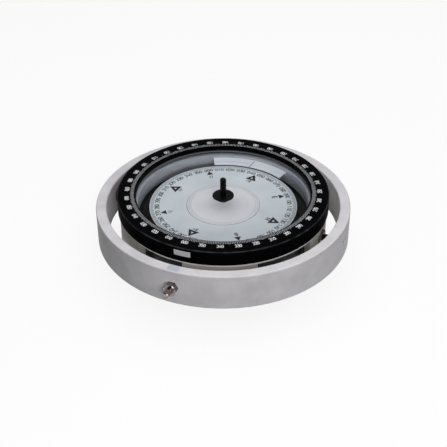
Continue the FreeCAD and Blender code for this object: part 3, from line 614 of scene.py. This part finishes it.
def tick_skin(turns: np.ndarray, inner: float, outer: float | np.ndarray, width: float, low: float,
              high: float) -> Skin:
    """Radial ticks: a box from inner to outer along each direction, half a width to each side.

    Args:
        turns: Angle of each tick from +X towards +Y, in degrees.
        inner: Radius where the ticks start.
        outer: Radius where all of them, or each, end.
        width: Width of a tick.
        low: Height of the underside.
        high: Height of the top.

    Returns:
        The ticks as one surface of separate boxes.
    """
    angle = np.radians(turns)
    along = np.stack((np.cos(angle), np.sin(angle)), axis=1)
    across = np.stack((-np.sin(angle), np.cos(angle)), axis=1) * width / 2.0
    inside = along * inner
    outside = along * np.broadcast_to(outer, turns.shape)[:, None]
    square = [inside - across, outside - across, outside + across, inside + across]
    points = np.stack([lifted(corner, level) for level in (low, high) for corner in square], axis=1)
    box = np.array([[3, 2, 1, 0], [4, 5, 6, 7], [0, 1, 5, 4], [1, 2, 6, 5], [2, 3, 7, 6], [3, 0, 4, 7]])
    faces = (box[None] + 8 * np.arange(len(turns))[:, None, None]).reshape(-1, 4)
    return Skin(points.reshape(-1, 3), faces.tolist())


def rotation(first: int, second: int, degrees: float) -> np.ndarray:
    """Matrix of a turn from one axis towards another, the axes given by number."""
    angle = math.radians(degrees)
    made = np.eye(3)
    made[first, first] = made[second, second] = math.cos(angle)
    made[second, first], made[first, second] = math.sin(angle), -math.sin(angle)
    return made


def rounded_corners(half: np.ndarray, corner: float) -> np.ndarray:
    """Outline of a plate with round corners: a quarter circle at each corner, counter-clockwise."""
    turn = np.radians(np.linspace(0.0, 90.0, 5))
    arc = np.column_stack((np.cos(turn), np.sin(turn))) * corner
    quarters = [arc @ rotation(0, 1, 90.0 * step)[:2, :2].T + (half - corner) * np.array(signs)
                for step, signs in enumerate(((1, 1), (-1, 1), (-1, -1), (1, -1)))]
    return np.concatenate(quarters)


def shown(name: str, data: bpy.types.ID) -> bpy.types.Object:
    """Makes an object of a mesh, a lamp or a camera and puts it in the scene."""
    made = bpy.data.objects.new(name, data)
    bpy.context.scene.collection.objects.link(made)
    return made


def piece(name: str, skins: list[Skin], finishes: list[Finish], body: Body,
          stands_for: tuple[str, ...] = (), smooth: bool = False) -> bpy.types.Object:
    """Makes one piece of the object and sets it on its body.

    Args:
        name: Name of the piece.
        skins: Its surfaces, in metres in the whole object's frame.
        finishes: Its finishes; each surface names its place in this list.
        body: The body that it rides on.
        stands_for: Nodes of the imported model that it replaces.
        smooth: Whether its faces are shaded round.

    Returns:
        The piece's object, its origin that of the whole object.
    """
    starts = np.cumsum([0] + [len(skin.points) for skin in skins])
    faces = [[corner + int(start) for corner in face]
             for skin, start in zip(skins, starts) for face in skin.faces]
    mesh = bpy.data.meshes.new(name)
    mesh.from_pydata(np.concatenate([skin.points for skin in skins]).tolist(), [], faces)
    mesh.polygons.foreach_set("material_index", [skin.finish for skin in skins for _ in skin.faces])
    mesh.polygons.foreach_set("use_smooth", [smooth] * len(faces))
    work = bmesh.new()
    work.from_mesh(mesh)
    bmesh.ops.recalc_face_normals(work, faces=work.faces)
    work.to_mesh(mesh)
    work.free()
    for finish in finishes:
        mesh.materials.append(finish.material())
    made = shown(name, mesh)
    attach(made, body.value)
    if stands_for:
        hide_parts(*stands_for)
    log.info("%s: %d faces on %s", name, len(faces), body.value)
    return made


# Lettering.


def bend(middle_x: float, middle_y: float, half_x: float, half_y: float, start: float,
         end: float) -> np.ndarray:
    """Points of an ellipse's arc: the middle plus half widths times cosine and sine of the angle."""
    turn = np.radians(np.linspace(start, end, max(4, int(abs(end - start) / ARC_STEP_DEGREES))))
    return np.column_stack((middle_x + half_x * np.cos(turn), middle_y + half_y * np.sin(turn)))


def loop(middle_x: float, middle_y: float, half_x: float, half_y: float) -> tuple[np.ndarray, bool]:
    """A whole ellipse as a closed stroke."""
    return bend(middle_x, middle_y, half_x, half_y, 0.0, 337.5), True


def pen(*parts) -> tuple[np.ndarray, bool]:
    """An open stroke through points and arcs, in order."""
    return np.concatenate([np.atleast_2d(np.array(part, float)) for part in parts]), False


@dataclass(frozen=True)
class ScaleFigures:
    """Plain engraver's figures and letters of one stroke width, drawn in a box 0.62 wide and 1 high.

    All measures are shares of the height, but layer_rise: where strokes of a sign cross, the later one is
    higher by that share of a stroke's height.
    """

    stroke: float = 0.17
    width: float = 0.62
    gap: float = 0.12
    drawn_width: float = 0.62
    layer_rise: float = 0.08

    def strokes(self, sign: str) -> list[tuple[np.ndarray, bool]]:
        """Points of each stroke of a figure or letter in the box, and whether the stroke is closed."""
        six = [loop(0.31, 0.31, 0.29, 0.31), pen((0.50, 0.98), (0.20, 0.66), (0.02, 0.33))]
        table = {
            "0": [loop(0.31, 0.5, 0.29, 0.5)],
            "1": [pen((0.12, 0.78), (0.34, 1.0), (0.34, 0.0))],
            "2": [pen(bend(0.31, 0.70, 0.29, 0.30, 170, -35), (0.02, 0.0), (0.62, 0.0))],
            "3": [pen(bend(0.30, 0.74, 0.27, 0.26, 150, -90)), pen(bend(0.30, 0.26, 0.30, 0.26, 90, -150))],
            "4": [pen((0.46, 0.0), (0.46, 1.0), (0.0, 0.28), (0.64, 0.28))],
            "5": [pen((0.56, 1.0), (0.10, 1.0), (0.06, 0.55), bend(0.30, 0.32, 0.30, 0.32, 125, -150))],
            "6": six,
            "7": [pen((0.0, 1.0), (0.60, 1.0), (0.22, 0.0))],
            "8": [loop(0.31, 0.74, 0.25, 0.25), loop(0.31, 0.26, 0.30, 0.26)],
            "9": [(np.array([0.62, 1.0]) - line, closed) for line, closed in six],
            "N": [pen((0.04, 0.0), (0.04, 1.0), (0.58, 0.0), (0.58, 1.0))],
            "E": [pen((0.58, 1.0), (0.06, 1.0), (0.06, 0.0), (0.58, 0.0)), pen((0.06, 0.52), (0.48, 0.52))],
            "S": [pen(bend(0.31, 0.74, 0.27, 0.26, 20, 250), bend(0.31, 0.26, 0.29, 0.26, 70, -160))],
            "W": [pen((0.0, 1.0), (0.14, 0.0), (0.31, 0.75), (0.48, 0.0), (0.62, 1.0))],
        }
        return table[sign]

    def word(self, text: str, height: float, low: float, high: float) -> list[Skin]:
        """Strokes of a word, centred on the origin, with x to the right and y up.

        Args:
            text: What is written, in digits or N, E, S, W.
            height: Height of its figures.
            low: Level of the strokes' underside.
            high: Level of their top.

        Returns:
            One closed surface for each stroke.
        """
        narrow = np.array([self.width / self.drawn_width, 1.0])
        step = self.width + self.gap
        start = -(len(text) * step - self.gap) / 2.0
        skins = []
        for place, sign in enumerate(text):
            shift = np.array([start + place * step, -0.5])
            for layer, (line, closed) in enumerate(self.strokes(sign)):
                top = high + (high - low) * self.layer_rise * layer
                middle = (line * narrow + shift) * height
                skins.append(ribbon(middle, self.stroke * height, closed, low, top))
        return skins


def around(skins: list[Skin], turn: float, radius: float, height: float, reading: Reading) -> list[Skin]:
    """Lays flat surfaces on a level face: x runs to the right, y up and z out of the face.

    Args:
        skins: The surfaces, centred on the origin.
        turn: Angle from +X towards +Y, in degrees.
        radius: Distance of the middle from the axis.
        height: Height of the face.
        reading: Which way the tops point.

    Returns:
        The surfaces in the whole object's frame.
    """
    angle = math.radians(turn)
    outward = np.array([math.cos(angle), math.sin(angle), 0.0])
    up = outward * reading.value
    right = np.array([up[1], -up[0], 0.0])
    axes = np.stack((right, up, np.cross(right, up)))
    origin = outward * radius + np.array([0.0, 0.0, height])
    return [Skin(skin.points @ axes + origin, skin.faces, skin.finish) for skin in skins]


# The compass, piece by piece.


@dataclass
class GimbalRing:
    """The white ring and what hangs it: the threads on its studs and the blank plate on its rim."""

    thread_radius: float = 4.0 * MM
    thread_pitch: float = 1.5 * MM
    thread_depth: float = 0.35 * MM
    thread_crest: float = 0.9
    thread_start: float = 134.0 * MM
    thread_end: float = 148.1 * MM
    thread_columns: int = 24
    rows_per_pitch: int = 8
    axis_height: float = 55.0 * MM
    rim_height: float = 75.5 * MM
    plate_turn: float = -89.9
    plate_radius: float = 135.6 * MM
    plate_width: float = 13.0 * MM
    plate_length: float = 8.4 * MM
    plate_thickness: float = 0.12 * MM
    plate_corner: float = 0.6 * MM

    def thread(self, side: float) -> Skin:
        """Screw thread on a stud: the radius falls from crest to root as a saw of (height / pitch - turn)."""
        rows = int((self.thread_end - self.thread_start) / self.thread_pitch * self.rows_per_pitch)
        along = np.linspace(self.thread_start, self.thread_end, rows)[:, None]
        turn = np.linspace(0.0, 2.0 * np.pi, self.thread_columns, endpoint=False)[None, :]
        phase = (along / self.thread_pitch - turn / (2.0 * np.pi)) % 1.0
        saw = self.thread_crest - 2.0 * self.thread_crest * np.abs(phase - 0.5)
        fading = np.minimum(1.0, (self.thread_end - along) / self.thread_pitch)
        radius = self.thread_radius + self.thread_depth * saw * fading
        points = np.stack((radius * np.cos(turn), np.broadcast_to(along * side, radius.shape),
                           self.axis_height + radius * np.sin(turn)), axis=-1)
        return capped(points)

    def blank_plate(self) -> Skin:
        """Thin plate with rounded corners, lying on the rim."""
        half = np.array([self.plate_width, self.plate_length]) / 2.0
        flat = slab(rounded_corners(half, self.plate_corner), 0.0, self.plate_thickness)
        return around([flat], self.plate_turn, self.plate_radius, self.rim_height, Reading.FROM_OUTSIDE)[0]

    def build(self) -> None:
        """Makes the ring's own pieces."""
        piece("trunnion_threads", [self.thread(side) for side in (-1.0, 1.0)], [STAINLESS], Body.RING,
              smooth=True)
        piece("rim_blank_plate", [self.blank_plate()], [BLANK_PAPER], Body.RING)


@dataclass
class RoundScale:
    """A degree scale on a level face round the axis; its bearings run clockwise from zero_turn."""

    face: float
    zero_turn: float
    reading: Reading
    figure_radius: float
    figure_height: float
    figures: ScaleFigures
    sunk: float
    proud: float

    def laid(self, skins: list[Skin], degree: float, radius: float) -> list[Skin]:
        """Lays flat lettering on the face at a bearing and a distance from the axis."""
        return around(skins, self.zero_turn - degree, radius, self.face, self.reading)

    def written(self, text: str, height: float, degree: float, radius: float,
                figures: ScaleFigures) -> list[Skin]:
        """Writes a word on the face at a bearing and a distance from the axis."""
        return self.laid(figures.word(text, height, self.sunk, self.proud), degree, radius)

    def ticks_at(self, degrees: np.ndarray, inner: float, outer: float | np.ndarray, width: float) -> Skin:
        """Ticks at the given bearings, between two distances from the axis."""
        return tick_skin(self.zero_turn - degrees, inner, outer, width, self.face + self.sunk,
                         self.face + self.proud)

    def numbers(self) -> list[Skin]:
        """Three figures at every tenth degree."""
        skins = []
        for degree in range(0, 360, 10):
            word = f"{degree:03d}"
            skins += self.written(word, self.figure_height, degree, self.figure_radius, self.figures)
        return skins


@dataclass
class Bezel(RoundScale):
    """The black ring's engraved scale, which runs from the aft side, and the plate on its skirt."""

    face: float = 88.5 * MM
    zero_turn: float = -89.8
    reading: Reading = Reading.FROM_OUTSIDE
    figure_radius: float = 106.9 * MM
    figure_height: float = 4.3 * MM
    figures: ScaleFigures = ScaleFigures(stroke=0.18, width=0.47, gap=0.10)
    sunk: float = -0.05 * MM
    proud: float = 0.06 * MM
    tick_inner: float = 98.8 * MM
    tick_outer: float = 102.7 * MM
    tick_five_outer: float = 103.5 * MM
    tick_width: float = 0.34 * MM
    skirt_radius: float = 117.5 * MM
    plate_turn: float = -89.2
    plate_middle: float = 81.8 * MM
    plate_width: float = 18.2 * MM
    plate_length: float = 6.4 * MM
    plate_thickness: float = 0.15 * MM
    plate_sections: int = 24

    def ticks(self) -> Skin:
        """A tick for each degree, longer at every fifth."""
        degree = np.arange(360)
        outer = np.where(degree % 5 == 0, self.tick_five_outer, self.tick_outer)
        return self.ticks_at(degree, self.tick_inner, outer, self.tick_width)

    def blank_plate(self) -> Skin:
        """Thin plate bent round the skirt: arc length along the wall becomes an angle."""
        across = np.linspace(-self.plate_width / 2.0, self.plate_width / 2.0, self.plate_sections)
        angle = math.radians(self.plate_turn) + across / self.skirt_radius
        wall = np.column_stack((np.cos(angle), np.sin(angle)))
        low, high = self.plate_middle - self.plate_length / 2.0, self.plate_middle + self.plate_length / 2.0
        inner, outer = self.skirt_radius, self.skirt_radius + self.plate_thickness
        square = [(low, inner), (high, inner), (high, outer), (low, outer)]
        return capped(np.stack([lifted(wall * radius, height) for height, radius in square], axis=1))

    def build(self) -> None:
        """Makes the scale and the plate."""
        piece("bezel_scale", [self.ticks()] + self.numbers(), [SCALE_WHITE], Body.BOWL)
        piece("skirt_blank_plate", [self.blank_plate()], [BLANK_FOIL], Body.BOWL)


@dataclass
class Window:
    """The glass over the card: its lower face is wetted by the liquid."""

    radius: float = 101.8 * MM
    hole_radius: float = 4.7 * MM
    bottom: float = 74.5 * MM
    top: float = 80.5 * MM
    edge: float = 0.5 * MM
    steps: int = 192

    def pane(self) -> Skin:
        """Turns the pane's outline round the axis: (r, z) goes to (r cos t, r sin t, z) for a full turn."""
        rim, low, high = self.radius - self.edge, self.bottom + self.edge, self.top - self.edge
        radius, height = np.array([(self.hole_radius, self.bottom), (rim, self.bottom), (self.radius, low),
                                   (self.radius, high), (rim, self.top), (self.hole_radius, self.top)]).T
        turn = np.linspace(0.0, 2.0 * np.pi, self.steps, endpoint=False)[:, None]
        flat = (radius * np.cos(turn), radius * np.sin(turn))
        points = np.stack((*flat, np.broadcast_to(height, flat[0].shape)), axis=-1)
        return grid_skin(points, wrap_rows=True)

    def build(self) -> None:
        """Makes the pane: the first of its outline's six runs is the wet face, the rest is dry glass."""
        made = piece("window", [self.pane()], [WINDOW, LIQUID], Body.BOWL, ("top_glass",))
        made.data.polygons.foreach_set("material_index", [1, 0, 0, 0, 0, 0] * self.steps)


@dataclass
class Card(RoundScale):
    """What is printed on the compass card: the scale from north and the points' marks."""

    face: float = 59.0 * MM
    zero_turn: float = -234.6
    reading: Reading = Reading.FROM_CENTRE
    figure_radius: float = 74.2 * MM
    figure_height: float = 4.6 * MM
    figures: ScaleFigures = ScaleFigures(stroke=0.2)
    sunk: float = -0.04 * MM
    proud: float = 0.05 * MM
    tick_inner: float = 78.4 * MM
    tick_outer: float = 81.7 * MM
    tick_five_inner: float = 77.4 * MM
    tick_width: float = 0.4 * MM
    tick_five_width: float = 0.64 * MM
    cardinal_radius: float = 67.0 * MM
    cardinal_side: float = 8.0 * MM
    cardinal_letter_radius: float = 60.0 * MM
    letter_height: float = 5.0 * MM
    point_radius: float = 64.0 * MM
    point_side: float = 13.6 * MM
    point_hole_share: float = 0.25
    point_letter_radius: float = 57.2 * MM
    point_letter_height: float = 3.6 * MM
    letters: ScaleFigures = ScaleFigures(stroke=0.26, gap=0.3)

    def ticks(self) -> list[Skin]:
        """A tick for each degree at the edge, and a longer one inwards at every fifth."""
        return [self.ticks_at(np.arange(360), self.tick_inner, self.tick_outer, self.tick_width),
                self.ticks_at(np.arange(0, 360, 5), self.tick_five_inner, self.tick_inner,
                              self.tick_five_width)]

    def triangle(self, side: float, low: float, high: float) -> Skin:
        """Equal-sided triangle with its point up, centred on the origin."""
        reach = side / math.sqrt(3.0)
        turn = np.radians([90.0, 210.0, 330.0])
        return slab(np.column_stack((np.cos(turn), np.sin(turn))) * reach, low, high)

    def marks(self) -> list[Skin]:
        """Small full triangles at the four main points, large open ones between them, with their letters."""
        skins, hand = [], self.letters
        for step, letter in enumerate("NESW"):
            degree = 90.0 * step
            full = self.triangle(self.cardinal_side, self.sunk, self.proud)
            skins += self.laid([full], degree, self.cardinal_radius)
            skins += self.written(letter, self.letter_height, degree, self.cardinal_letter_radius, hand)
        for step, pair in enumerate(("NE", "SE", "SW", "NW")):
            degree = 45.0 + 90.0 * step
            full = self.triangle(self.point_side, self.sunk, self.proud)
            hole = self.triangle(self.point_side * self.point_hole_share, self.proud, 2.0 * self.proud)
            hole.finish = 1
            skins += self.laid([full, hole], degree, self.point_radius)
            skins += self.written(pair, self.point_letter_height, degree, self.point_letter_radius, hand)
        return skins

    def build(self) -> None:
        """Makes the printed pieces."""
        piece("card_scale", self.ticks() + self.numbers(), [FINE_INK], Body.CARD)
        piece("card_marks", self.marks(), [CARD_INK, CARD_FACE], Body.CARD)


@dataclass
class LubberMarks:
    """The mark on the sloped plate that the card is read against, and the plate's pressed lines; the one
    along a fold is painted shade.

    A stroke is its width in mm and its two ends, each an arc length to the left in mm and a share of the
    slope.
    """

    top_radius: float = 94.0 * MM
    top_height: float = 68.0 * MM
    foot_radius: float = 84.4 * MM
    foot_height: float = 59.8 * MM
    mark_turn: float = 90.0
    sunk_mm: float = -0.2
    proud_mm: float = 0.08
    points: int = 8
    lubber_line: tuple = (0.8, (1.2, 0.02), (-2.6, 0.92))
    pale_stroke: tuple = (0.5, (-4.4, 0.30), (1.8, 0.96))
    # Painted shade: a thin dark line stands in for the shade along a fold in the plate.
    crease_shade: tuple = (0.25, (3.0, 0.50), (44.0, 0.52))

    def stroke(self, width_mm: float, foot: tuple, head: tuple, finish: int) -> Skin:
        """Flat stroke wrapped on the cone: x is arc length to the left, y runs from foot (0) to top (1)."""
        out, rise = self.top_radius - self.foot_radius, self.top_height - self.foot_height
        slope, slope_mm = math.atan2(rise, out), math.hypot(out, rise) / MM
        line = np.linspace(*(np.array([x, share * slope_mm]) for x, share in (foot, head)), self.points)
        made = ribbon(line, width_mm, False, self.sunk_mm, self.proud_mm)
        x, share, lift = (made.points * np.array([MM, 1.0 / slope_mm, MM])).T
        radius = self.foot_radius + share * out
        angle = math.radians(self.mark_turn) + x / radius
        radius = radius - lift * math.sin(slope)
        height = self.foot_height + share * rise + lift * math.cos(slope)
        made.points = np.column_stack((radius * np.cos(angle), radius * np.sin(angle), height))
        made.finish = finish
        return made

    def build(self) -> None:
        """Makes the dark lubber line, the pale stroke that crosses it and a fine line of painted shade along
        a fold to its left.
        """
        skins = [self.stroke(*self.lubber_line, 0), self.stroke(*self.pale_stroke, 1),
                 self.stroke(*self.crease_shade, 0)]
        piece("lubber_marks", skins, [LUBBER_INK, PALE_LINE], Body.BOWL)


# The studio.


def stand(made: bpy.types.Object, axes: tuple, place: np.ndarray | Spot) -> None:
    """Puts an object at a place with its own three axes along the given ones."""
    matrix = np.eye(4)
    matrix[:3, :3] = np.column_stack(axes)
    matrix[:3, 3] = place
    made.matrix_world = Matrix(matrix.tolist())


@dataclass
class PhotoCamera:
    """The photograph's viewpoint, worked out from the ellipses of the ring, bezel and card."""

    aim: Spot = (0.0, 0.0, 0.0755)
    distance: float = 1.092
    elevation: float = 33.0
    azimuth: float = 22.0
    focal_px: float = 977.3
    roll: float = -0.286
    tilt: float = 1.377
    pan: float = -0.011
    sensor_mm: float = 36.0
    nearest: float = 0.01
    farthest: float = 50.0

    def build(self) -> None:
        """Places the camera on its sphere round the aim, then turns it by the small pan, tilt and roll."""
        up, side = math.radians(self.elevation), math.radians(self.azimuth)
        back = np.array([math.cos(up) * math.sin(side), -math.cos(up) * math.cos(side), math.sin(up)])
        right = np.array([math.cos(side), math.sin(side), 0.0])
        small = rotation(0, 1, self.roll) @ rotation(1, 2, self.tilt) @ rotation(2, 0, self.pan)
        turned = small @ np.stack((right, -np.cross(back, right), -back))
        lens = bpy.data.cameras.new("photo_camera")
        lens.sensor_width = self.sensor_mm
        lens.lens = self.focal_px * self.sensor_mm / PHOTO_SIDE
        lens.clip_start, lens.clip_end = self.nearest, self.farthest
        made = shown("photo_camera", lens)
        stand(made, (turned[0], -turned[1], -turned[2]), np.array(self.aim) + back * self.distance)
        bpy.context.scene.camera = made


@dataclass(frozen=True)
class SoftLamp:
    """A square lamp with a diffuser; its top edge points to upright."""

    name: str
    place: Spot
    side: float
    watts: float
    upright: Spot = (0.0, 1.0, 0.001)

    def build(self, aim: Spot) -> None:
        """Makes the lamp and turns its face to the aim."""
        light = bpy.data.lights.new(self.name, "AREA")
        light.size, light.energy = self.side, self.watts
        away = np.array(self.place) - np.array(aim)
        away /= np.linalg.norm(away)
        right = np.cross(self.upright, away)
        right /= np.linalg.norm(right)
        stand(shown(self.name, light), (right, np.cross(away, right), away), self.place)


@dataclass
class Studio:
    """White paper floor, white surroundings for the camera, soft lamps above and at the viewer's side."""

    floor_side: float = 8.0
    paper: FloorPaper = FloorPaper("studio paper", "#dadada", 0.9)
    ambient: float = 0.03
    band_low: float = 0.2
    band_high: float = 0.42
    mirror_top: float = 0.06
    lamp_aim: Spot = (0.0, 0.0, 0.05)
    lamps: tuple[SoftLamp, ...] = (
        SoftLamp("top_lamp", (0.1, 0.05, 1.5), 2.6, 26.0),
        SoftLamp("front_lamp", (0.74, -1.09, 0.64), 0.7, 8.4),
    )

    def floor(self) -> None:
        """A flat sheet under the object."""
        half = self.floor_side / 2.0
        mesh = bpy.data.meshes.new("floor")
        corners = [(-half, -half, 0.0), (half, -half, 0.0), (half, half, 0.0), (-half, half, 0.0)]
        mesh.from_pydata(corners, [], [(0, 1, 2, 3)])
        mesh.materials.append(self.paper.material())
        made = shown("floor", mesh)

    def world(self) -> None:
        """Dim even light on the object; camera and glass see white, mirrors a white band at the horizon."""
        world = bpy.data.worlds.new("studio_world")
        bpy.context.scene.world = world
        world.use_nodes = True
        tree = world.node_tree
        tree.nodes.clear()
        path = add(tree, "LightPath").outputs
        rise = add(tree, "SeparateXYZ", {0: add(tree, "TexCoord").outputs["Generated"]}).outputs[2]
        band = add(tree, "MapRange", {"Value": rise, "From Min": self.band_low, "From Max": self.band_high,
                                      "To Min": 1.0, "To Max": self.mirror_top}).outputs[0]
        seen = calc(tree, "MAXIMUM", path["Is Camera Ray"], path["Is Transmission Ray"])
        white = calc(tree, "MAXIMUM", seen, calc(tree, "MULTIPLY", path["Is Glossy Ray"], band))
        light = add(tree, "Background", {0: WHITE, 1: calc(tree, "MAXIMUM", white, self.ambient)})
        tree.links.new(light.outputs[0], add(tree, "OutputWorld").inputs[0])

    def build(self) -> None:
        """Sets the floor, the surroundings and the lamps."""
        self.floor()
        self.world()
        for lamp in self.lamps:
            lamp.build(self.lamp_aim)
        bpy.context.scene.view_settings.view_transform = "Standard"


def dress_nodes() -> None:
    """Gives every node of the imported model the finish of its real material."""
    for finish, names in NODE_FINISHES.items():
        for name in names:
            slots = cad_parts[name].data.materials
            slots.clear()
            slots.append(finish.material())
        log.info("%s on %s", finish.name, ", ".join(names))


def main() -> None:
    """Builds the camera, the studio, the finishes and the pieces in order."""
    logging.basicConfig(level=logging.INFO, format="%(name)s: %(message)s")
    PhotoCamera().build()
    Studio().build()
    dress_nodes()
    for part in (GimbalRing(), Bezel(), Window(), Card(), LubberMarks()):
        part.build()


if __name__ == "__main__":
    main()
